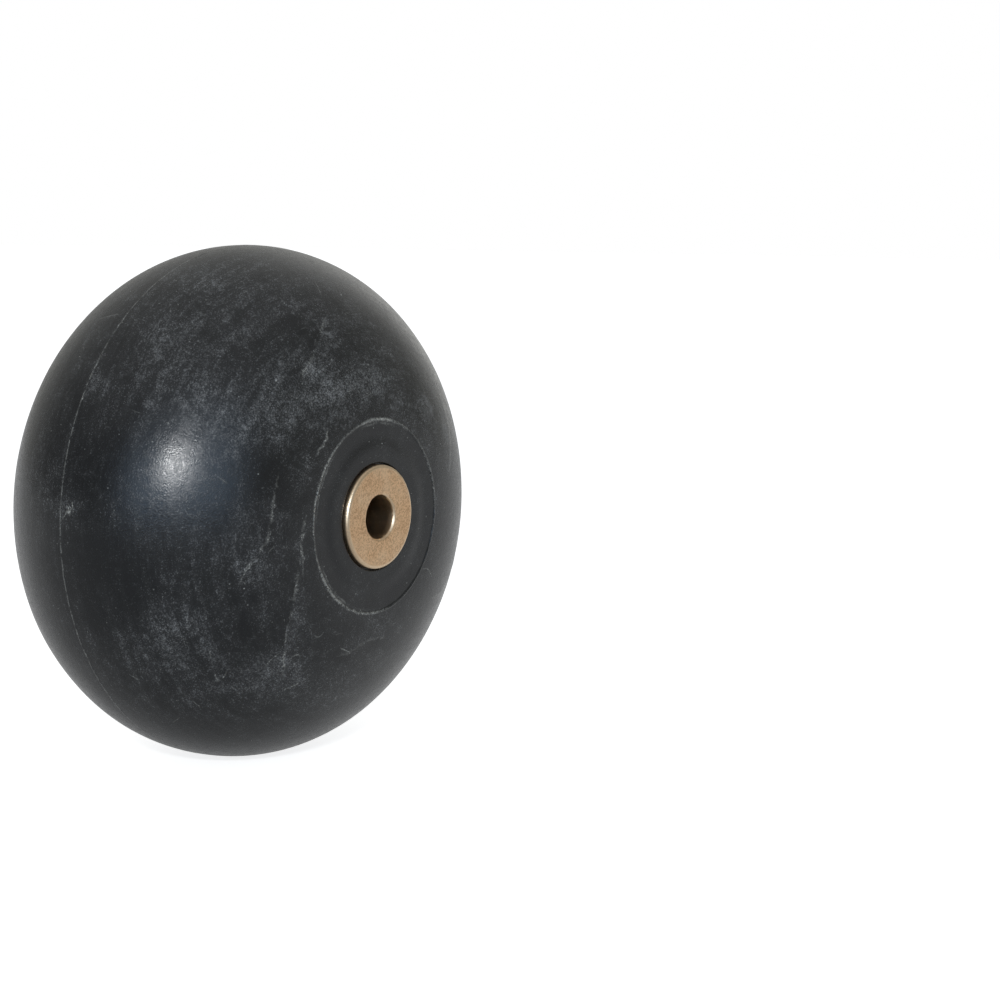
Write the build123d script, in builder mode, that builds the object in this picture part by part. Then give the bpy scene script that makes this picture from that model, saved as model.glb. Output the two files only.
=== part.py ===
from build123d import *
from math import cos, radians, sin
import os

# A solid rubber ball roller on a steel core tube, with a flanged bronze bush pressed into each end.
# Millimetres. The origin is the ball's centre, Y is the axis that it turns about, and +Z is up.
# Every piece is a revolved profile, drawn with X as its radius and Y along that axis.

# Ball: outside, a crown arc and a shoulder arc run tangent from the mid-plane to the hub face's edge
ball_diameter = 152.4
overall_width = 101.6           # over the two flanges' faces
crown_angle = 38.5              # turned through by the crown arc, in degrees from the mid-plane
shoulder_slope = 4.2            # left in the shoulder arc at the hub face's edge, in degrees
hub_face_radius = 28.0

# Hub face: the mould's end plug sets it back a little, and the rubber swells round the flange
hub_step = 0.12
swell_foot_radius = 23.6
swell_top_radius = 19.0
swell_height = 0.3

# Bushes
bush_bore_diameter = 12.75      # for a 12.7 mm axle
bush_outside_diameter = 19.05
bush_length = 28.6              # with the flange
flange_diameter = 30.2
flange_thickness = 3.2
flange_stand_off = 1.65         # of the flange's face from the hub face's edge
flange_fillet = 1.0
bush_mouth_chamfer = 0.5
bush_lead_in = 0.8

# Core tube: grooves round its outside key it to the rubber
core_wall = 3.2
core_mouth_chamfer = 0.3
key_groove_width = 4.0
key_groove_depth = 0.8
key_groove_pitch = 18.0
key_groove_count = 4

# Clearance
flange_gap = 0.45               # between a flange's rim and the rubber round it

ball_radius = ball_diameter / 2
half_width = overall_width / 2
bore_radius = bush_bore_diameter / 2
press_radius = bush_outside_diameter / 2
flange_radius = flange_diameter / 2
flange_seat = half_width - flange_thickness
hub_edge = half_width - flange_stand_off
hub_face = hub_edge - hub_step
swell_top = hub_face + swell_height
pocket_radius = flange_radius + flange_gap
core_middle_radius = press_radius + core_wall / 2
core_radius = press_radius + core_wall

# The crown arc's radius, from the run (along the axis) and the fall (towards it) of both tangent arcs
crown_end = radians(crown_angle)
shoulder_end = radians(90 - shoulder_slope)
crown_run = sin(crown_end)
crown_fall = 1 - cos(crown_end)
shoulder_run = sin(shoulder_end) - sin(crown_end)
shoulder_fall = cos(crown_end) - cos(shoulder_end)
outside_fall = ball_radius - hub_face_radius
crown_radius = (shoulder_fall * hub_edge - shoulder_run * outside_fall) / (
    crown_run * shoulder_fall - crown_fall * shoulder_run
)

# The steel tube that both bushes are pressed into, bonded in the rubber
with BuildPart() as core_tube:
    with BuildSketch(Plane.XY):
        with Locations((core_middle_radius, 0)):
            Rectangle(core_wall, 2 * flange_seat)
        with Locations((core_radius, 0)):
            with GridLocations(0, key_groove_pitch, 1, key_groove_count):
                Rectangle(2 * key_groove_depth, key_groove_width, mode=Mode.SUBTRACT)
        mouths = vertices().group_by(Axis.X)[0]
        chamfer(mouths, core_mouth_chamfer)
    revolve(axis=Axis.Y)

# The moulded rubber: the core tube's own shape is taken out of it, so it fills the key grooves
with BuildPart() as rubber_ball:
    with BuildSketch(Plane.XY):
        with BuildLine():
            crown = CenterArc((ball_radius - crown_radius, 0), crown_radius, 0, crown_angle)
            shoulder = TangentArc(crown @ 1, (hub_face_radius, hub_edge), tangent=crown % 1)
            Polyline(
                shoulder @ 1,
                (hub_face_radius, hub_face),
                (swell_foot_radius, hub_face),
                (swell_top_radius, swell_top),
                (pocket_radius, swell_top),
                (pocket_radius, flange_seat),
                (core_middle_radius, flange_seat),
                (core_middle_radius, 0),
                crown @ 0,
            )
        make_face()
        mirror(about=Plane.XZ)
    revolve(axis=Axis.Y)
    add(core_tube.part, mode=Mode.SUBTRACT)

# A sintered bronze bush at the +Y end, with its flange against the core tube
with BuildPart() as back_bush:
    with BuildSketch(Plane.XY):
        with BuildLine():
            Polyline(
                (bore_radius, half_width - bush_length),
                (press_radius, half_width - bush_length),
                (press_radius, flange_seat),
                (flange_radius, flange_seat),
                (flange_radius, half_width),
                (bore_radius, half_width),
                close=True,
            )
        make_face()
        mouths = vertices().group_by(Axis.X)[0]
        rim = vertices().group_by(Axis.X)[-1].sort_by(Axis.Y)[-1]
        lead_in = vertices().group_by(Axis.Y)[0].sort_by(Axis.X)[-1]
        chamfer(mouths, bush_mouth_chamfer)
        chamfer(lead_in, bush_lead_in)
        fillet(rim, flange_fillet)
    revolve(axis=Axis.Y)

# The same bush at the -Y end
with BuildPart() as front_bush:
    mirror(back_bush.part, about=Plane.XZ)

rubber_ball.part.label = "rubber_ball"
core_tube.part.label = "core_tube"
back_bush.part.label = "back_bush"
front_bush.part.label = "front_bush"

os.makedirs("parts", exist_ok=True)
for piece in (rubber_ball, core_tube, back_bush, front_bush):
    export_step(piece.part, f"parts/{piece.part.label}.step")
    print(piece.part.label, round(piece.part.volume), "mm3")
print("crown arc radius", round(crown_radius, 2), "shoulder arc radius", round(shoulder.radius, 2))
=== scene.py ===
import math
import bmesh
import bpy
import numpy as np
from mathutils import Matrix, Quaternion, Vector, noise


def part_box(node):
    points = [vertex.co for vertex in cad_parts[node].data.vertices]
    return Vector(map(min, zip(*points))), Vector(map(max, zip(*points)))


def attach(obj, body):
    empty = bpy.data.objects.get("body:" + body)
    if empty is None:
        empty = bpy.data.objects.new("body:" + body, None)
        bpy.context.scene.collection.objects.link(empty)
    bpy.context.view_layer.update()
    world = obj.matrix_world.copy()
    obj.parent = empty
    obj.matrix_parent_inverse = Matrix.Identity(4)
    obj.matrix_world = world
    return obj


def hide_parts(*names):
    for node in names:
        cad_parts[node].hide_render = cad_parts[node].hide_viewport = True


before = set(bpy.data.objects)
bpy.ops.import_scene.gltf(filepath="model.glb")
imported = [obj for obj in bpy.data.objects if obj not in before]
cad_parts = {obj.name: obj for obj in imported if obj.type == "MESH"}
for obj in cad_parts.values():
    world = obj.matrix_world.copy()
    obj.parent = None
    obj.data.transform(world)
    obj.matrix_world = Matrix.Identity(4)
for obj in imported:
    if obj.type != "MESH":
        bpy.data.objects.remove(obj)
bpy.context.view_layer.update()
print("frame loaded")

mm = 0.001
mergeWithin = 0.002    # mm, for a spun shape's doubles
sharpFrom = 40         # degrees between faces, for an edge that shades sharp
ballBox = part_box("rubber_ball")
flangeFace = -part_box("front_bush")[0].y / mm  # both flanges' faces stand this far from the ball's middle


def arcPoints(centre, radius, angles):
    # points of (distance from the axle, place along it) on an arc
    return [(centre[0] + radius * math.cos(a), centre[1] + radius * math.sin(a)) for a in angles]


def linePoints(start, end, count):
    return [tuple(Vector(start).lerp(Vector(end), t)) for t in np.linspace(0, 1, count)]


def spinPiece(name, outline, steps):
    # a closed outline in mm, spun about the axle into a closed solid
    bm = bmesh.new()
    verts = [bm.verts.new((radius * mm, along * mm, 0)) for radius, along in outline]
    edges = [bm.edges.new((verts[i - 1], verts[i])) for i in range(len(verts))]
    bmesh.ops.spin(bm, geom=verts + edges, cent=(0, 0, 0), axis=(0, 1, 0), angle=2 * math.pi,
                   steps=steps, use_merge=True)
    bmesh.ops.remove_doubles(bm, verts=bm.verts, dist=mergeWithin * mm)
    bmesh.ops.recalc_face_normals(bm, faces=bm.faces)
    mesh = bpy.data.meshes.new(name)
    bm.to_mesh(mesh)
    bm.free()
    mesh.polygons.foreach_set("use_smooth", [True] * len(mesh.polygons))
    mesh.set_sharp_from_angle(angle=math.radians(sharpFrom))
    piece = bpy.data.objects.new(name, mesh)
    bpy.context.scene.collection.objects.link(piece)
    print(name, "spun:", len(mesh.polygons), "faces")
    return piece


def readPoints(mesh):
    points = np.zeros(len(mesh.vertices) * 3)
    normals = np.zeros(len(mesh.vertices) * 3)
    mesh.vertices.foreach_get("co", points)
    mesh.vertices.foreach_get("normal", normals)
    return points.reshape(-1, 3) / mm, normals.reshape(-1, 3)


def movePoints(mesh, points):
    mesh.vertices.foreach_set("co", (points * mm).ravel())
    mesh.update()


def storeValues(mesh, name, values):
    attribute = mesh.attributes.new(name, "FLOAT", "POINT")
    attribute.data.foreach_set("value", values.astype(np.float32))


def smoothNoise(points, size, seed):
    # Perlin noise with lumps about size mm across, from -1 to 1
    shift = Vector((seed * 7.3, seed * 3.1, seed * 5.7))
    return np.array([noise.noise(Vector(p) / size + shift) for p in points])


# The ball: the same two arcs as the frame's ball, with rows close together where it has fine detail
ballShape = {
    "radius": ballBox[1].x / mm,
    "crownRadius": 46.65,
    "crownAngle": math.radians(38.5),
    "hubRadius": 28.0,
    "hubEdge": flangeFace - 1.65,
    "hubStep": 0.12,
    "stepRound": 0.04,
    "rimRows": (0.12, 0.2, 0.34, 0.7),  # in from the hub's rim: over the step, down it, and on the flat
    "swellFoot": 23.6,
    "swellTop": 19.0,
    "swellHeight": 0.3,
    "pocketRadius": 15.55,
    "pocketRound": 0.3,
    "seat": flangeFace - 3.2,
    "coreRadius": 12.725,
    "keyDepth": 0.8,
    "keyWidth": 4.0,
    "keyPlaces": (9.0, 27.0),
    "rowSpacing": 0.95,
    "rowMargin": 0.4,  # between the ends of two stretches of rows on the hub
    "hubRows": 7,      # in each stretch
    "fineRows": (0.1, 0.2, 0.3, 0.42, 0.6, 0.9, 1.3),  # rows beside the parting line and the hub's rim
    "steps": 384,
}


def shoulderArc(shape):
    # its centre, radius and end angle: tangent to the crown arc, and out to the hub's edge
    turned = shape["crownAngle"]
    outward = Vector((math.cos(turned), math.sin(turned)))
    crownCentre = Vector((shape["radius"] - shape["crownRadius"], 0))
    start = crownCentre + outward * shape["crownRadius"]
    edge = Vector((shape["hubRadius"], shape["hubEdge"]))
    radius = -(edge - start).length_squared / (2 * (edge - start).dot(outward))
    centre = start - outward * radius
    return centre, radius, math.atan2(edge.y - centre.y, edge.x - centre.x)


def ballOutline(shape):
    crownCentre = (shape["radius"] - shape["crownRadius"], 0)
    shoulderCentre, shoulderRadius, shoulderEnd = shoulderArc(shape)
    crownLength = shape["crownRadius"] * shape["crownAngle"]
    shoulderLength = shoulderRadius * (shoulderEnd - shape["crownAngle"])
    fine, spacing = shape["fineRows"], shape["rowSpacing"]
    crownRows = [0, *fine, *np.arange(fine[-1] + spacing, crownLength, spacing)]
    shoulderRows = [*np.arange(0.5, shoulderLength - fine[-1] - 0.5, spacing),
                    *(shoulderLength - row for row in fine[::-1]), shoulderLength]
    half = arcPoints(crownCentre, shape["crownRadius"], [row / shape["crownRadius"] for row in crownRows])
    half += arcPoints(shoulderCentre, shoulderRadius,
                      [shape["crownAngle"] + row / shoulderRadius for row in shoulderRows])
    face = shape["hubEdge"] - shape["hubStep"]
    top = face + shape["swellHeight"]
    foot, crest, margin, rows = shape["swellFoot"], shape["swellTop"], shape["rowMargin"], shape["hubRows"]
    over, down, flat, clear = (shape["hubRadius"] - inward for inward in shape["rimRows"])
    half += [(over, shape["hubEdge"] - shape["stepRound"]), (down, face + shape["stepRound"]), (flat, face)]
    half += linePoints((clear, face), (foot + margin, face), rows)
    half += [(radius, face + shape["swellHeight"] * (0.5 - 0.5 * math.cos(math.pi * t)))
             for t, radius in zip(np.linspace(0, 1, rows), np.linspace(foot, crest, rows))]
    pocket, rounding = shape["pocketRadius"], shape["pocketRound"]
    roundCentre = (pocket + rounding, top - rounding)
    half += linePoints((crest - margin, top), (roundCentre[0] + 0.15, top), rows)
    half += arcPoints(roundCentre, rounding, np.radians([90, 120, 150, 180]))
    half += [(pocket, shape["seat"]), (shape["coreRadius"], shape["seat"])]
    for place in shape["keyPlaces"][::-1]:
        for along, depth in ((0.5, 0), (0.5, 1), (-0.5, 1), (-0.5, 0)):
            half.append((shape["coreRadius"] - depth * shape["keyDepth"],
                         place + along * shape["keyWidth"]))
    half.append((shape["coreRadius"], 0))
    return half + [(radius, -along) for radius, along in half[-2:0:-1]]


rubberBall = spinPiece("rubberBall", ballOutline(ballShape), ballShape["steps"])

# Marks left in the skin by the mould and by handling. A point is (turn about the axle in degrees,
# distance from the parting line over the surface in mm, minus towards the front bush).
ballMarks = {
    "seams": [  # where two flows of rubber met: a thin pale line, and a paler skin on the run's right side
        {"run": [(124, -54.5), (120, -53), (114, -51.5), (109, -49), (104, -46.5), (99, -43.5)],
         "line": 0.4, "haze": 0.55},
        {"run": [(157, -61), (163, -61), (170, -61), (178, -60.5), (182, -60), (186, -57.5), (190, -54),
                 (196, -49.5)], "line": 0.5, "haze": 0.3},
        {"run": [(128, -69.5), (134, -71), (142, -70.5)], "line": 0.9, "haze": 0.2},
        {"run": [(171, -73), (185, -71), (195, -70.5), (204, -69.5)], "line": 0.6, "haze": 0.25},
        {"run": [(235, -48.5), (228, -53), (220, -57.5), (215, -61.5), (207, -65.5), (197, -69)],
         "line": 0.55, "haze": 0.7},
        {"run": [(281, -66.5), (272, -67.5), (263, -66.5), (257, -64), (249, -61.5)],
         "line": 0.35, "haze": 0.5},
        {"run": [(40, -52), (30, -55), (22, -60), (12, -66)], "line": 0.4, "haze": 0.8},
        {"run": [(340, -44), (334, -50), (322, -57), (316, -64)], "line": 0.5, "haze": 0.7},
        {"run": [(70, 45), (84, 52), (92, 60), (104, 66)], "line": 0.5, "haze": 0.9},
        {"run": [(150, 64), (164, 60), (178, 61), (190, 55)], "line": 0.5, "haze": 0.7},
        {"run": [(250, 48), (262, 56), (268, 62), (282, 68)], "line": 0.5, "haze": 0.8},
        {"run": [(10, 58), (356, 62), (342, 59), (330, 52)], "line": 0.4, "haze": 0.8},
    ],
    "scratches": [  # each (points, how pale)
        ([(92, -29.5), (95, -37)], 0.4), ([(226, -47), (225, -50), (225, -54)], 0.5),
        ([(230, -54.5), (231, -56.5), (233, -56.5)], 0.6), ([(237, -52), (237, -53.5)], 0.6),
        ([(238, -46), (240, -48.5), (241, -50.5)], 0.6), ([(250, -64.5), (257, -64)], 1.0),
        ([(232, -63.5), (234, -64), (235, -65.5)], 0.7), ([(321, -75), (324, -72), (323, -68)], 0.5),
        ([(132, 11), (131, 2.5)], 0.6), ([(175, -2.5), (177, -3.5)], 0.9),
        ([(174, -4), (176, -4.5)], 0.9), ([(178, -0.5), (176, -2.5)], 0.7),
        ([(219, -35), (222, -34.5)], 0.7), ([(224, -25), (227, -25.5)], 0.6),
        ([(213, -12), (215, -14.5)], 0.6), ([(112, -75.5), (98, -76), (84, -75.5), (72, -76)], 0.9),
    ],
    "patches": [  # broad hazy places, or clear dark ones: (turn, distance, size in mm, amount)
        (143, -53, 9, 0.3), (132, -58, 11, 0.4), (116, -63, 9, 0.55), (100, -66, 9, 0.5),
        (83, -64, 10, 0.4), (114, -20, 20, 0.27), (129, -27, 12, 0.1), (149, -4, 4, 0.6),
        (163, -11, 12, -0.5), (186, -14, 16, -0.6), (160, -58, 7, -0.6), (110, -44, 5, -0.5),
        (201, -33, 12, 0.2), (212, -46, 9, -0.2), (95, -73, 6, -0.4), (226, -50, 6, 0.4),
        (238, -48, 7, 0.4), (190, -56, 5, 0.2), (175, -4, 5, 0.5), (223, -38, 14, 0.32),
        (205, -31, 10, 0.3), (144, -31, 12, 0.25), (134, -15, 8, 0.3), (210, -20, 8, 0.25),
        (258, -50, 10, 0.3), (154, -68, 4, 0.25),
    ],
    "rimPale": [  # paler stretches of the hub's rim: (turn, spread in degrees, amount)
        (88, 22, 1.5), (155, 30, 1.5), (225, 24, 1.7), (22, 26, 0.7), (265, 16, 0.9),
    ],
    "rimLeast": 0.08,
    "backTurn": 70,     # the back rim's pale stretches are turned by this
    "hubHaze": -0.36,   # the hub's face is cleaner than the skin
    "hubGrain": 0.45,   # and smoother
    "looseScratches": 110,
    "loosePatches": 26,
    "handPlaced": (80, 290),  # the turns where the near side's patches are listed
    "seed": 5,
}

# Relief of the skin, in mm
ballRelief = {
    "lumps": ((27, 0.10, 1), (9, 0.02, 2)),  # slow unevenness of the moulding: (size, height, seed)
    "threadHeight": 0.07,   # the parting line's raised thread, lower where it was trimmed
    "threadWidth": 0.22,
    "threadWander": 0.12,
    "flashHeight": 0.25,    # flash at the hub's rim, left where the mould's end plug met its shell
    "flashWidth": 0.26,
    "seamHeight": 0.09,     # a seam is a low ridge, and the skin on its right stands a little higher
    "seamWidth": 0.6,
    "stepHeight": 0.07,
    "stepFade": 5,
    "markReach": 14,        # how far from a run its distance is stored
    "endFade": 7,           # a run's marks reach full strength in the first 1/7 of its length
}


def surfacePoint(shape, turn, over):
    # the point of the ball's skin at a turn in degrees and a distance from the parting line in mm
    crownLength = shape["crownRadius"] * shape["crownAngle"]
    centre, radius, _ = shoulderArc(shape)
    if abs(over) < crownLength:
        angle = abs(over) / shape["crownRadius"]
        out, along = arcPoints((shape["radius"] - shape["crownRadius"], 0), shape["crownRadius"], [angle])[0]
    else:
        angle = shape["crownAngle"] + (abs(over) - crownLength) / radius
        out, along = arcPoints(centre, radius, [angle])[0]
    around = math.radians(turn)
    return np.array((out * math.cos(around), math.copysign(along, over), out * math.sin(around)))


def curvedRun(shape, run, spacing=0.25):
    # a smooth run through its points, by Catmull-Rom, on the skin
    guide = np.array([run[0], *run, run[-1]], float)
    out = []
    for a, b, c, d in zip(guide, guide[1:], guide[2:], guide[3:]):
        for t in np.arange(0, 1, spacing):
            out.append(0.5 * (2 * b + (c - a) * t + (2 * a - 5 * b + 4 * c - d) * t * t
                              + (3 * b - a - 3 * c + d) * t ** 3))
    out.append(guide[-1])
    return [surfacePoint(shape, turn, over) for turn, over in out]


def distanceToRun(points, normals, run):
    # signed distance in mm from each point to a run, plus on its right, and its place along it from 0 to 1
    signed = np.full(len(points), 1e3)
    place = np.zeros(len(points))
    lengths = [np.linalg.norm(b - a) for a, b in zip(run, run[1:])]
    for index, (a, b) in enumerate(zip(run, run[1:])):
        span = b - a
        t = np.clip((points - a) @ span / (span @ span), 0, 1)
        offset = points - (a + t[:, None] * span)
        distance = np.linalg.norm(offset, axis=1)
        right = np.einsum("ij,ij->i", np.cross(span, normals), offset) >= 0
        nearer = distance < np.abs(signed)
        signed[nearer] = np.where(right, distance, -distance)[nearer]
        place[nearer] = ((sum(lengths[:index]) + t * lengths[index]) / sum(lengths))[nearer]
    return signed, place


def markSkin(mesh, shape, skin, name, runs, relief):
    # stores the distance to the nearest run, and that run's strengths, which fade towards its ends
    points, normals = readPoints(mesh)
    nearest = np.full(len(points), 50.0)
    strengths = {key: np.zeros(len(points)) for key in runs[0][1]}
    for run, amounts in runs:
        line = curvedRun(shape, run)
        middle = sum(line) / len(line)
        reach = max(np.linalg.norm(point - middle) for point in line) + relief["markReach"]
        chosen = np.flatnonzero(skin & (np.linalg.norm(points - middle, axis=1) < reach))
        distance, place = distanceToRun(points[chosen], normals[chosen], line)
        closer = np.abs(distance) < np.abs(nearest[chosen])
        chosen, distance, place = chosen[closer], distance[closer], place[closer]
        nearest[chosen] = distance
        ends = np.clip(np.minimum(place, 1 - place) * relief["endFade"], 0, 1)
        for key, amount in amounts.items():
            strengths[key][chosen] = amount * ends
    storeValues(mesh, name + "Distance", nearest)
    for key, values in strengths.items():
        storeValues(mesh, name + key, values)
    return nearest, strengths


def looseScratch(random):
    # a short bent scratch at a random place
    turn, over = random.uniform(0, 360), random.uniform(-72, 72)
    length, heading, bend = random.uniform(1, 4.5), random.uniform(0, 6.3), random.uniform(-0.5, 0.5)
    steps = [(math.cos(heading + bend * t) * t, math.sin(heading + bend * t) * t) for t in (0, 0.5, 1)]
    run = [(turn + 0.9 * length * x, max(-73, min(73, over + length * y))) for x, y in steps]
    return run, {"Pale": random.uniform(0.1, 0.45)}


def allPatches(marks, random):
    # the listed patches, and scattered ones on the sides that have none
    patches = list(marks["patches"])
    first, last = marks["handPlaced"]
    while len(patches) < len(marks["patches"]) + marks["loosePatches"]:
        turn, over = random.uniform(0, 360), random.uniform(-70, 70)
        if over > 5 or not first < turn < last:
            patches.append((turn, over, random.uniform(5, 18), random.uniform(-0.5, 0.6)))
    return patches


def storeHaze(mesh, points, shape, marks, patches):
    haze = np.zeros(len(points))
    for turn, over, size, amount in patches:
        away = np.linalg.norm(points - surfacePoint(shape, turn, over), axis=1) / size
        haze += amount * np.exp(-away ** 2)
    along = points[:, 1]
    radius = np.hypot(points[:, 0], points[:, 2])
    onHub = (radius < shape["hubRadius"]) & (np.abs(along) > shape["hubEdge"] - 0.6)
    haze[onHub] += marks["hubHaze"]
    storeValues(mesh, "haze", haze)
    storeValues(mesh, "grainy", np.where(onHub, marks["hubGrain"], 1.0))
    turns = np.degrees(np.arctan2(points[:, 2], points[:, 0]))
    pale = np.full(len(points), marks["rimLeast"])
    for turn, spread, amount in marks["rimPale"]:
        away = (np.where(along < 0, turns, turns + marks["backTurn"]) - turn + 180) % 360 - 180
        pale += amount * np.exp(-(away / spread) ** 2)
    storeValues(mesh, "rimPale", pale)


def skinLift(points, shape, relief, seamDistance, seamStrength):
    # how far each point is raised, in mm
    radius = np.hypot(points[:, 0], points[:, 2])
    along = points[:, 1]
    outside = (radius > shape["hubRadius"] - 0.05) & (np.abs(along) <= shape["hubEdge"] + 0.01)
    lift = np.zeros(len(points))
    for size, height, seed in relief["lumps"]:
        lift[outside] += height * smoothNoise(points[outside], size, seed)
    near = outside & (np.abs(along) < 2)
    fromThread = along[near] - relief["threadWander"] * smoothNoise(points[near], 14, 4)
    lift[near] += (relief["threadHeight"] * np.clip(0.55 + smoothNoise(points[near], 3.2, 3), 0.1, 1.3)
                   * np.exp(-(fromThread / relief["threadWidth"]) ** 2))
    rim = (np.abs(radius - shape["hubRadius"]) < 1) & (np.abs(along) > shape["hubEdge"] - 0.5)
    flash = np.clip(0.5 + 0.9 * smoothNoise(points[rim], 2.4, 5), 0, 1.4)
    lift[rim] += (relief["flashHeight"] * flash
                  * np.exp(-((radius[rim] - shape["hubRadius"]) / relief["flashWidth"]) ** 2))
    lift += (seamStrength["Line"] * relief["seamHeight"]
             * np.exp(-(seamDistance / relief["seamWidth"]) ** 2))
    lift += (seamStrength["Haze"] * relief["stepHeight"] * (seamDistance > -0.3)
             * np.exp(-np.clip(seamDistance, 0, None) / relief["stepFade"]))
    return lift


def detailBall(piece, shape, marks, relief):
    mesh = piece.data
    points, normals = readPoints(mesh)
    skin = np.hypot(points[:, 0], points[:, 2]) > shape["pocketRadius"] + shape["pocketRound"] * 0.5
    random = np.random.default_rng(marks["seed"])
    seams = [(seam["run"], {"Line": seam["line"], "Haze": seam["haze"]}) for seam in marks["seams"]]
    scratches = [(run, {"Pale": pale}) for run, pale in marks["scratches"]]
    scratches += [looseScratch(random) for count in range(marks["looseScratches"])]
    seamDistance, seamStrength = markSkin(mesh, shape, skin, "seam", seams, relief)
    markSkin(mesh, shape, skin, "scratch", scratches, relief)
    storeHaze(mesh, points, shape, marks, allPatches(marks, random))
    lift = skinLift(points, shape, relief, seamDistance, seamStrength)
    movePoints(mesh, points + normals * lift[:, None])
    print("ball detailed")


detailBall(rubberBall, ballShape, ballMarks, ballRelief)

# The bushes: turned faces with broken edges, and small knocks from handling
bushShape = {
    "boreRadius": 6.375,
    "pressRadius": 9.525,
    "flangeRadius": 15.1,
    "flangeThickness": 3.2,
    "length": 28.6,
    "mouthChamfer": 0.5,
    "leadIn": 0.8,
    "rimRound": 1.0,
    "unevenness": 0.012,
    "unevenSize": 2.6,
    "knocks": 14,
    "knockSize": (0.35, 0.9),
    "knockDepth": (0.03, 0.11),
    "steps": 288,
}


def bushOutline(shape, face):
    bore, flange, press = shape["boreRadius"], shape["flangeRadius"], shape["pressRadius"]
    mouth, rounding, leadIn = shape["mouthChamfer"], shape["rimRound"], shape["leadIn"]
    inner, seat = face - shape["length"], face - shape["flangeThickness"]
    nick = mouth * 0.06  # breaks the chamfer's two edges
    outline = linePoints((bore, inner + mouth), (bore, face - mouth), 12)
    outline += linePoints((bore + nick, face - mouth * 0.9), (bore + mouth * 0.94, face - nick), 5)
    outline += linePoints((bore + mouth + 0.06, face), (flange - rounding - 0.12, face), 16)
    outline += arcPoints((flange - rounding, face - rounding), rounding, np.radians(range(90, -1, -15)))
    outline += linePoints((flange, face - rounding - 0.15), (flange, seat + 0.1), 6)
    outline += [(flange - 0.1, seat), (press, seat)]
    outline += linePoints((press, seat - 0.4), (press, inner + leadIn), 8)
    return outline + [(press - leadIn, inner), (bore + mouth, inner)]


def makeBush(name, shape, end, seed):
    # end is 1 at the back and -1 at the front
    outline = [(radius, end * along) for radius, along in bushOutline(shape, flangeFace)]
    piece = spinPiece(name, outline, shape["steps"])
    points, normals = readPoints(piece.data)
    uneven = shape["unevenness"]
    lift = -uneven + uneven * smoothNoise(points, shape["unevenSize"], seed)
    random = np.random.default_rng(seed)
    for knock in range(shape["knocks"]):
        around = random.uniform(0, 2 * math.pi)
        where = random.choice([shape["flangeRadius"] - 0.15, shape["boreRadius"] + 0.3])
        spot = np.array((where * math.cos(around), end * (flangeFace - 0.1), where * math.sin(around)))
        away = np.linalg.norm(points - spot, axis=1) / random.uniform(*shape["knockSize"])
        lift -= random.uniform(*shape["knockDepth"]) * np.exp(-away ** 2)
    movePoints(piece.data, points + normals * lift[:, None])
    return piece


frontBush = makeBush("frontBush", bushShape, -1, 11)
backBush = makeBush("backBush", bushShape, 1, 12)


def addNode(tree, kind, inputs=None, **settings):
    made = tree.nodes.new(kind)
    for name, value in settings.items():
        setattr(made, name, value)
    for name, value in (inputs or {}).items():
        socket = made.inputs[name]
        if isinstance(value, bpy.types.NodeSocket):
            tree.links.new(value, socket)
        else:
            socket.default_value = value
    return made


def calculate(tree, operation, *values, clamp=False):
    # works through the values two at a time, from the first
    out = values[0]
    for value in values[1:]:
        out = addNode(tree, "ShaderNodeMath", {0: out, 1: value}, operation=operation,
                      use_clamp=clamp).outputs[0]
    return out


def total(tree, *values):
    return calculate(tree, "ADD", *values)


def product(tree, *values):
    return calculate(tree, "MULTIPLY", *values)


def centred(tree, value, amount):
    # a value from 0 to 1 made a swing of amount about 0
    return product(tree, calculate(tree, "SUBTRACT", value, 0.5), amount)


def rampUp(tree, value, low, high):
    # 0 at low, 1 at high, smooth between
    made = addNode(tree, "ShaderNodeMapRange", {"Value": value, "From Min": low, "From Max": high},
                   interpolation_type="SMOOTHSTEP")
    return made.outputs["Result"]


def mixColour(tree, factor, a, b):
    ends = [value if isinstance(value, bpy.types.NodeSocket) else (*value, 1) for value in (a, b)]
    made = addNode(tree, "ShaderNodeMix", {"Factor": factor, 6: ends[0], 7: ends[1]}, data_type="RGBA")
    return made.outputs[2]


def noiseValue(tree, vector, scale, detail=3.0, roughness=0.55, distortion=0.0):
    made = addNode(tree, "ShaderNodeTexNoise", {"Vector": vector, "Scale": scale, "Detail": detail,
                                                "Roughness": roughness, "Distortion": distortion})
    return made.outputs["Fac"]


def scaled(tree, vector, scale):
    return addNode(tree, "ShaderNodeMapping", {"Vector": vector, "Scale": scale}).outputs[0]


def millimetres(tree):
    # object coordinates in mm
    source = addNode(tree, "ShaderNodeTexCoord").outputs["Object"]
    return scaled(tree, source, (1 / mm, 1 / mm, 1 / mm))


def axlePlace(tree, vector):
    # distance from the axle, and place along it
    across, along, up = addNode(tree, "ShaderNodeSeparateXYZ", {"Vector": vector}).outputs
    squares = total(tree, product(tree, across, across), product(tree, up, up))
    return addNode(tree, "ShaderNodeMath", {0: squares}, operation="SQRT").outputs[0], along


def newGroup(name, inputs, outputs):
    group = bpy.data.node_groups.new(name, "ShaderNodeTree")
    for socketName, kind in inputs:
        group.interface.new_socket(socketName, in_out="INPUT", socket_type=kind)
    for socketName, kind in outputs:
        group.interface.new_socket(socketName, in_out="OUTPUT", socket_type=kind)
    return group, group.nodes.new("NodeGroupInput"), group.nodes.new("NodeGroupOutput")


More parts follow.
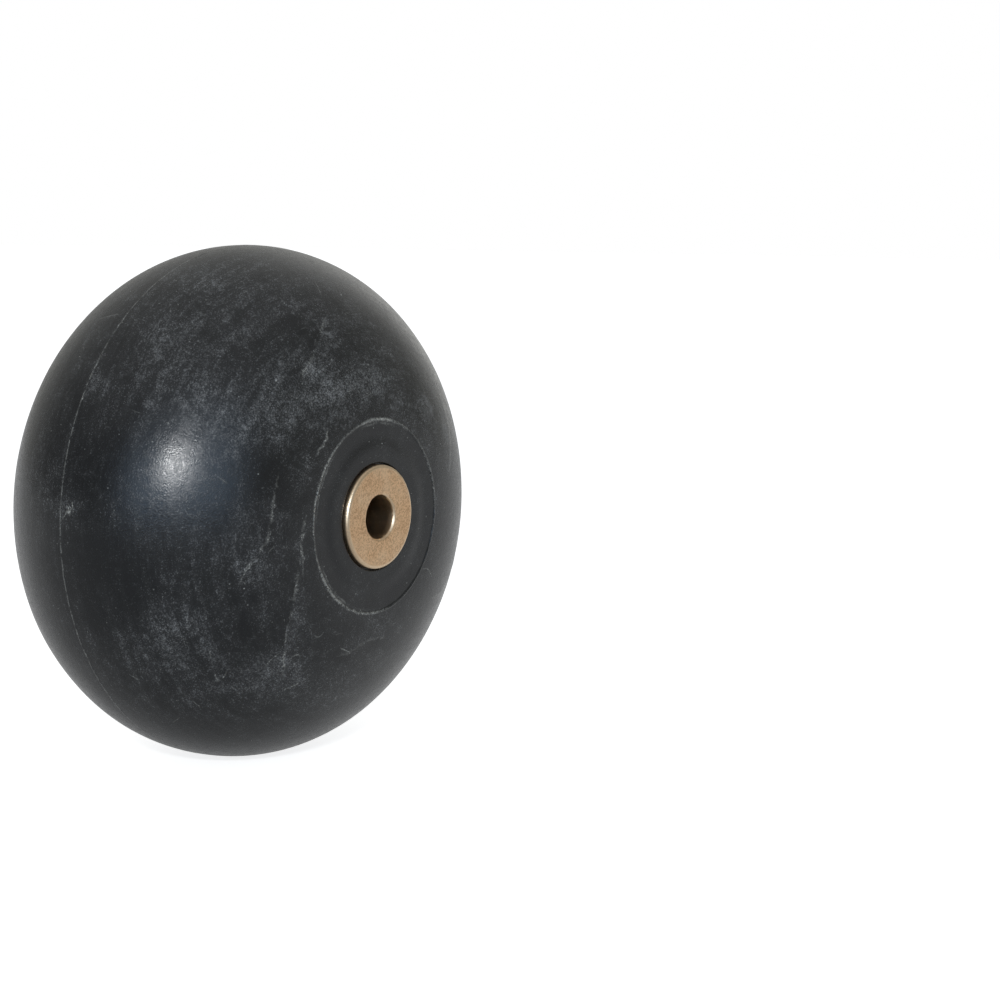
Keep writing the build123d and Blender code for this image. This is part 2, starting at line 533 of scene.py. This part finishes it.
def buildSpecks():
    # scattered small spots: each Voronoi cell has one or none
    group, given, result = newGroup(
        "specks",
        [("Vector", "NodeSocketVector"), ("Scale", "NodeSocketFloat"), ("Share", "NodeSocketFloat"),
         ("Size", "NodeSocketFloat")],
        [("Mask", "NodeSocketFloat")])
    cells = addNode(group, "ShaderNodeTexVoronoi", {"Vector": given.outputs["Vector"],
                                                    "Scale": given.outputs["Scale"]})
    parts = addNode(group, "ShaderNodeSeparateColor", {"Color": cells.outputs["Color"]})
    chosen = calculate(group, "LESS_THAN", parts.outputs[0], given.outputs["Share"])
    size = product(group, parts.outputs[1], given.outputs["Size"])
    inside = calculate(group, "DIVIDE", calculate(group, "SUBTRACT", size, cells.outputs["Distance"]), size)
    spot = calculate(group, "MULTIPLY", inside, 2.5, clamp=True)
    group.links.new(product(group, spot, chosen), result.inputs["Mask"])
    return group


def buildRaggedLine():
    # a thin line where a distance is zero, ragged at its edges and broken along its length
    group, given, result = newGroup(
        "raggedLine",
        [("Vector", "NodeSocketVector"), ("Distance", "NodeSocketFloat"), ("Width", "NodeSocketFloat"),
         ("Wander", "NodeSocketFloat"), ("Broken", "NodeSocketFloat")],
        [("Mask", "NodeSocketFloat")])
    vector = given.outputs["Vector"]
    sway = centred(group, noiseValue(group, vector, 0.55, 5, 0.6), given.outputs["Wander"])
    moved = total(group, given.outputs["Distance"], sway)
    thick = product(group, given.outputs["Width"], total(group, noiseValue(group, vector, 1.3, 3), 0.4))
    away = addNode(group, "ShaderNodeMath", {0: moved}, operation="ABSOLUTE").outputs[0]
    core = calculate(group, "SUBTRACT", 1.0, calculate(group, "DIVIDE", away, thick), clamp=True)
    patchy = noiseValue(group, vector, 0.33, 4, 0.7)
    kept = rampUp(group, calculate(group, "SUBTRACT", patchy, given.outputs["Broken"]), -0.06, 0.1)
    group.links.new(product(group, core, kept), result.inputs["Mask"])
    return group


specksGroup = buildSpecks()
raggedLineGroup = buildRaggedLine()


def placeGroup(tree, group, inputs):
    return addNode(tree, "ShaderNodeGroup", inputs, node_tree=group).outputs[0]


def newMaterial(name):
    material = bpy.data.materials.new(name)
    material.use_nodes = True
    tree = material.node_tree
    return material, tree, tree.nodes["Principled BSDF"]


def finishShader(tree, shader, colour, roughness, height, strength=1.0, distance=1.0):
    # distance is the bump's height in mm where height is 1
    bump = addNode(tree, "ShaderNodeBump", {"Height": height, "Strength": strength,
                                            "Distance": distance * mm})
    tree.links.new(colour, shader.inputs["Base Color"])
    tree.links.new(roughness, shader.inputs["Roughness"])
    tree.links.new(bump.outputs[0], shader.inputs["Normal"])


rubberFinish = {
    "dark": (0.0076, 0.0082, 0.0090),
    "grey": (0.0335, 0.0343, 0.0345),
    "haze": (0.235, 0.237, 0.236),
    "mark": (0.60, 0.60, 0.55),
    "roughness": 0.235,
    "specular": 0.5,
    "noises": {  # scale per mm, detail, roughness, distortion
        "broad": (0.03, 5, 0.6, 0.8),
        "mottled": (0.12, 9, 0.7, 0.7),
        "wisps": (0.07, 9, 0.72, 2.4),
        "grain": (2.0, 1, 0.7),
        "fineGrain": (3.4, 0.5, 0.5),
        "pebbles": (0.55, 1, 0.6),
        "dots": (1.5, 2, 0.6),
    },
    "wiped": {"streaks": (0.35, 6, 0.65, 0.4), "fineStreaks": (1.1, 4, 0.6, 0.3)},
    "wipedScale": (0.14, 1, 0.14),  # wiping marks are drawn out round the axle
    "hazeShares": {"mottled": 1.4, "broad": 0.8, "wisps": 1.2, "streaks": 1.6, "fineStreaks": 0.9},
    "hazeRange": (-0.65, 1.35),
    "besideShare": 0.65,
    "dustShares": {"grain": 0.8, "fineGrain": 1.0, "pebbles": 0.4},
    "dustRange": (0.0, 0.4),
    "lines": {
        "seam": {"Width": 0.65, "Wander": 3.0, "Broken": 0.45},
        "scratch": {"Width": 0.28, "Wander": 0.5, "Broken": 0.3},
        "parting": {"Width": 0.36, "Wander": 0.5, "Broken": 0.46},
        "rim": {"Wander": 1.3, "Broken": 0.33},
        "inner": {"Width": 0.5, "Wander": 1.8, "Broken": 0.42},
    },
    "rimWidth": (0.32, 0.3),  # the rim line's least width, and what it gains where it is pale
    "innerGap": 1.1,          # from the rim to a second strand of flash inside it
    "specks": {"Scale": 0.55, "Share": 0.3, "Size": 0.16},
    "partingShare": 0.7,
    "innerShare": 0.7,
    "specksShare": 0.8,
    "roughnessSwings": {"grain": 0.25, "pebbles": 0.2},
    "hazeRoughness": 0.10,
    "dustRoughness": 0.05,
    "grainRelief": {"grain": 0.04, "fineGrain": 0.02, "pebbles": 0.024},  # mm
    "mottledRelief": 0.04,
    "marksRelief": 0.03,
}


def makeRubber(finish, shape):
    material, tree, shader = newMaterial("mouldedRubber")
    vector = millimetres(tree)
    radius, along = axlePlace(tree, vector)
    wiped = scaled(tree, vector, finish["wipedScale"])
    noises = {name: noiseValue(tree, vector, *settings) for name, settings in finish["noises"].items()}
    noises |= {name: noiseValue(tree, wiped, *settings) for name, settings in finish["wiped"].items()}

    def stored(name):
        return addNode(tree, "ShaderNodeAttribute", attribute_name=name).outputs["Fac"]

    def swings(shares):
        return [centred(tree, noises[name], share) for name, share in shares.items()]

    def line(kind, distance, **inputs):
        return placeGroup(tree, raggedLineGroup, {"Vector": vector, "Distance": distance,
                                                  **finish["lines"][kind], **inputs})

    # paler on the right of each seam, ending sharply at it
    fromSeam = total(tree, stored("seamDistance"), centred(tree, noises["mottled"], 2.4))
    beside = product(tree, rampUp(tree, fromSeam, -0.3, 0.35), rampUp(tree, fromSeam, 9.0, 1.0),
                     stored("seamHaze"), finish["besideShare"])
    haze = total(tree, stored("haze"), *swings(finish["hazeShares"]), beside)
    hazeMask = rampUp(tree, haze, *finish["hazeRange"])
    # dust in the pores: closer together and paler where the haze is
    dust = total(tree, *swings(finish["dustShares"]), centred(tree, hazeMask, 0.3))
    dust = rampUp(tree, dust, *finish["dustRange"])
    dustMask = product(tree, total(tree, 0.22, product(tree, hazeMask, 0.88)), dust, 0.85)
    colour = mixColour(tree, hazeMask, finish["dark"], finish["grey"])
    colour = mixColour(tree, dustMask, colour, finish["haze"])

    # seams, scratches and specks
    seamLine = product(tree, stored("seamLine"), line("seam", stored("seamDistance")))
    scratchLine = product(tree, stored("scratchPale"), line("scratch", stored("scratchDistance")))
    specks = placeGroup(tree, specksGroup, {"Vector": vector, **finish["specks"]})
    marks = calculate(tree, "MAXIMUM", seamLine, scratchLine, product(tree, specks, finish["specksShare"]))
    marksMask = product(tree, marks, total(tree, 0.25, product(tree, dust, 1.2)))
    colour = mixColour(tree, marksMask, colour, finish["mark"])

    # the parting line, and the dotted flash at the hub's rim
    rimPale = stored("rimPale")
    dots = rampUp(tree, noises["dots"], 0.32, 0.56)
    least, gain = finish["rimWidth"]
    rimLine = line("rim", calculate(tree, "SUBTRACT", radius, shape["hubRadius"]),
                   Width=total(tree, least, product(tree, rimPale, gain)))
    innerLine = line("inner", calculate(tree, "SUBTRACT", radius, shape["hubRadius"] - finish["innerGap"]))
    innerMask = product(tree, innerLine, rampUp(tree, rimPale, 0.8, 1.6), dots, finish["innerShare"])
    moulded = calculate(tree, "MAXIMUM", product(tree, line("parting", along), finish["partingShare"]),
                        product(tree, rimLine, rimPale, dots), innerMask)
    colour = mixColour(tree, product(tree, moulded, total(tree, 0.3, dust)), colour, finish["mark"])

    roughness = total(tree, finish["roughness"], *swings(finish["roughnessSwings"]),
                      product(tree, hazeMask, finish["hazeRoughness"]),
                      product(tree, dust, finish["dustRoughness"]))
    grainHeight = total(tree, *(product(tree, noises[name], relief)
                                for name, relief in finish["grainRelief"].items()))
    height = total(tree, product(tree, stored("grainy"), grainHeight),
                   product(tree, noises["mottled"], finish["mottledRelief"]),
                   product(tree, marks, finish["marksRelief"]))
    finishShader(tree, shader, colour, roughness, height)
    shader.inputs["Specular IOR Level"].default_value = finish["specular"]
    return material


bronzeFinish = {
    "metal": (0.91, 0.62, 0.37),
    "dark": (0.55, 0.34, 0.19),
    "bright": (0.95, 0.77, 0.55),
    "oil": (0.045, 0.026, 0.016),
    "thinOil": (0.20, 0.105, 0.06),
    "roughness": 0.34,
    "grainRoughness": 0.14,
    "polish": 0.09,
    "pores": {"Scale": 2.4, "Share": 0.3, "Size": 0.42},
    "toneShare": 0.3,
    "poresShare": 0.7,
    "oilShare": 0.9,
    "wornShare": 0.6,
    "grainRelief": 0.02,  # mm
    "poresRelief": 0.03,
}


def makeBronze(finish, shape):
    material, tree, shader = newMaterial("sinteredBronze")
    bore, flange = shape["boreRadius"], shape["flangeRadius"]
    vector = millimetres(tree)
    radius, along = axlePlace(tree, vector)
    grain = noiseValue(tree, vector, 2.0, 2, 0.8)
    tone = rampUp(tree, noiseValue(tree, vector, 0.12, 4, 0.6), 0.4, 0.7)
    pores = placeGroup(tree, specksGroup, {"Vector": vector, **finish["pores"]})
    colour = mixColour(tree, rampUp(tree, grain, 0.32, 0.62), finish["dark"], finish["metal"])
    colour = mixColour(tree, product(tree, tone, finish["toneShare"]), colour, finish["bright"])
    colour = mixColour(tree, product(tree, pores, finish["poresShare"]), colour, finish["dark"])
    # oil darkens the bore
    away = addNode(tree, "ShaderNodeMath", {0: along}, operation="ABSOLUTE").outputs[0]
    depth = calculate(tree, "SUBTRACT", flangeFace, away)
    inBore = product(tree, rampUp(tree, radius, bore + 0.9, bore + 0.6), rampUp(tree, depth, 0.4, 1.1))
    pooled = rampUp(tree, noiseValue(tree, vector, 0.22, 4), 0.42, 0.66)
    oil = mixColour(tree, pooled, finish["oil"], finish["thinOil"])
    colour = mixColour(tree, product(tree, inBore, finish["oilShare"]), colour, oil)
    # handling has polished the outer and inner edges
    worn = total(tree, rampUp(tree, radius, flange - 1.2, flange - 0.8),
                 rampUp(tree, radius, bore + 0.6, bore + 0.3))
    wornMask = calculate(tree, "MULTIPLY", worn, finish["wornShare"], clamp=True)
    colour = mixColour(tree, wornMask, colour, finish["bright"])
    roughness = calculate(tree, "SUBTRACT",
                          total(tree, finish["roughness"], product(tree, grain, finish["grainRoughness"])),
                          product(tree, worn, finish["polish"]))
    height = calculate(tree, "SUBTRACT", product(tree, grain, finish["grainRelief"]),
                       product(tree, pores, finish["poresRelief"]))
    finishShader(tree, shader, colour, roughness, height)
    shader.inputs["Metallic"].default_value = 1
    return material


steelFinish = {
    "metal": (0.42, 0.42, 0.42),
    "oil": (0.10, 0.07, 0.05),
    "oilShare": 0.7,
    "roughness": 0.3,
    "streakRoughness": 0.2,
    "streakScale": (1, 0.05, 1),  # drawn out along the tube
    "streakRelief": 0.02,         # mm
}


def makeSteel(finish):
    material, tree, shader = newMaterial("drawnSteel")
    vector = millimetres(tree)
    streaks = noiseValue(tree, scaled(tree, vector, finish["streakScale"]), 2.5, 4, 0.7)
    oil = rampUp(tree, noiseValue(tree, vector, 0.2, 4), 0.4, 0.65)
    colour = mixColour(tree, product(tree, oil, finish["oilShare"]), finish["metal"], finish["oil"])
    roughness = total(tree, finish["roughness"], product(tree, streaks, finish["streakRoughness"]))
    finishShader(tree, shader, colour, roughness, streaks, 0.5, finish["streakRelief"])
    shader.inputs["Metallic"].default_value = 1
    return material


rubberBall.data.materials.append(makeRubber(rubberFinish, ballShape))
bronze = makeBronze(bronzeFinish, bushShape)
frontBush.data.materials.append(bronze)
backBush.data.materials.append(bronze)
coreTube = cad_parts["core_tube"]
steel = makeSteel(steelFinish)
for slot in coreTube.material_slots:
    slot.material = steel
print("materials made")

for piece, node, slotName in ((rubberBall, "rubber_ball", "rubber"),
                              (frontBush, "front_bush", "bush_bronze"),
                              (backBush, "back_bush", "bush_bronze")):
    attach(piece, "root")
    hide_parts(node)

view = {
    "azimuth": math.radians(-48.62),  # from straight in front of the front bush
    "elevation": math.radians(7.81),
    "distance": 0.6784,
    "lens": 81.13,
    "aimRight": math.radians(6.41),   # the camera looks this far to the right of the ball, and above it
    "aimUp": math.radians(0.03),
}


def setCamera(settings):
    flat = math.cos(settings["elevation"])
    towards = Vector((math.sin(settings["azimuth"]) * flat, -math.cos(settings["azimuth"]) * flat,
                      math.sin(settings["elevation"])))
    data = bpy.data.cameras.new("camera")
    data.lens = settings["lens"]
    data.sensor_width = 36
    camera = bpy.data.objects.new("camera", data)
    camera.location = towards * settings["distance"]
    turned = ((-towards).to_track_quat("-Z", "Y") @ Quaternion((0, 1, 0), -settings["aimRight"])
              @ Quaternion((1, 0, 0), settings["aimUp"]))
    camera.rotation_euler = turned.to_euler()
    bpy.context.scene.collection.objects.link(camera)
    bpy.context.scene.camera = camera
    return towards


towardsCamera = setCamera(view)
rightOfView = Vector((0, 0, 1)).cross(towardsCamera).normalized()
upOfView = towardsCamera.cross(rightOfView)

# direction is (right, up, towards the camera), as seen from the camera's first place
lights = {
    "keyLight": {"direction": (-0.075, 0.195, 0.978), "distance": 1.2, "size": (0.18, 0.04), "watts": 4.0,
                 "colour": (1.0, 0.995, 0.985)},
    "stripLight": {"direction": (-0.075, 0.19, 0.978), "distance": 1.3, "size": (0.56, 0.04), "watts": 1.8,
                   "colour": (0.93, 0.97, 1.0)},
}


def addSoftbox(name, direction, distance, size, watts, colour):
    data = bpy.data.lights.new(name, "AREA")
    data.shape = "ELLIPSE"
    data.size, data.size_y = size
    data.energy = watts
    data.color = colour
    light = bpy.data.objects.new(name, data)
    place = rightOfView * direction[0] + upOfView * direction[1] + towardsCamera * direction[2]
    light.location = place.normalized() * distance
    light.rotation_euler = (-place).to_track_quat("-Z", "Y").to_euler()
    bpy.context.scene.collection.objects.link(light)


for name, settings in lights.items():
    addSoftbox(name, **settings)

# The camera sees a paler floor than the ball does
floorFinish = {
    "radius": 6.0,
    "seen": (0.80, 0.80, 0.80),
    "lift": 0.80,
    "cast": (0.30, 0.30, 0.30),
    "glow": 0.515,
    "roughness": 0.9,
}


def makeFloor(settings):
    bm = bmesh.new()
    bmesh.ops.create_circle(bm, cap_ends=True, segments=96, radius=settings["radius"])
    bmesh.ops.translate(bm, verts=bm.verts, vec=(0, 0, ballBox[0].z))
    mesh = bpy.data.meshes.new("floor")
    bm.to_mesh(mesh)
    bm.free()
    floor = bpy.data.objects.new("floor", mesh)
    bpy.context.scene.collection.objects.link(floor)
    material, tree, shader = newMaterial("paleFloor")
    shader.inputs["Roughness"].default_value = settings["roughness"]
    shader.inputs["Emission Color"].default_value = (1, 1, 1, 1)
    seen = addNode(tree, "ShaderNodeLightPath").outputs["Is Camera Ray"]
    tree.links.new(mixColour(tree, seen, settings["cast"], settings["seen"]), shader.inputs["Base Color"])
    # what the ball mirrors of the floor is brighter behind it
    place = addNode(tree, "ShaderNodeTexCoord").outputs["Object"]
    heading = addNode(tree, "ShaderNodeVectorMath", {0: place}, operation="NORMALIZE").outputs["Vector"]
    away = addNode(tree, "ShaderNodeVectorMath", {0: heading, 1: rightOfView * 0.1 - towardsCamera * 0.94},
                   operation="DOT_PRODUCT").outputs["Value"]
    glow = product(tree, rampUp(tree, away, -1.4, 0.9), settings["glow"])
    strength = addNode(tree, "ShaderNodeMix", {"Factor": seen}, data_type="FLOAT")
    tree.links.new(glow, strength.inputs[2])
    strength.inputs[3].default_value = settings["lift"]
    tree.links.new(strength.outputs[0], shader.inputs["Emission Strength"])
    mesh.materials.append(material)


makeFloor(floorFinish)

# The camera sees white, and the ball a room: a cool glow round the camera, dim sides, pale behind
skyFinish = {
    "seen": (1.0, 1.0, 1.0),
    "side": (0.19, 0.19, 0.19),
    "front": (1.05, 1.42, 1.90),
    "above": (0.42, 0.42, 0.41),
    "behind": (0.47, 0.47, 0.45),
    "behindRight": (0.98, 0.98, 0.95),
    "right": (0.28, 0.28, 0.26),
}


def makeSky(settings):
    world = bpy.data.worlds.new("studio")
    world.use_nodes = True
    tree = world.node_tree
    direction = addNode(tree, "ShaderNodeTexCoord").outputs["Generated"]

    def along(axis):
        return addNode(tree, "ShaderNodeVectorMath", {0: direction, 1: axis},
                       operation="DOT_PRODUCT").outputs["Value"]

    colour = mixColour(tree, rampUp(tree, along(towardsCamera), 0.64, 0.98), settings["side"],
                       settings["front"])
    colour = mixColour(tree, rampUp(tree, along(Vector((0, 0, 1))), 0.1, 1.0), colour, settings["above"])
    behind = mixColour(tree, rampUp(tree, along(rightOfView), -0.05, 0.4), settings["behind"],
                       settings["behindRight"])
    colour = mixColour(tree, rampUp(tree, along(-towardsCamera), 0.2, 1.0), colour, behind)
    colour = mixColour(tree, rampUp(tree, along(rightOfView), 0.4, 0.85), colour, settings["right"])
    seen = addNode(tree, "ShaderNodeLightPath").outputs["Is Camera Ray"]
    tree.links.new(mixColour(tree, seen, colour, settings["seen"]), tree.nodes["Background"].inputs["Color"])
    bpy.context.scene.world = world


makeSky(skyFinish)
bpy.context.scene.view_settings.view_transform = "Standard"
print("stage made")
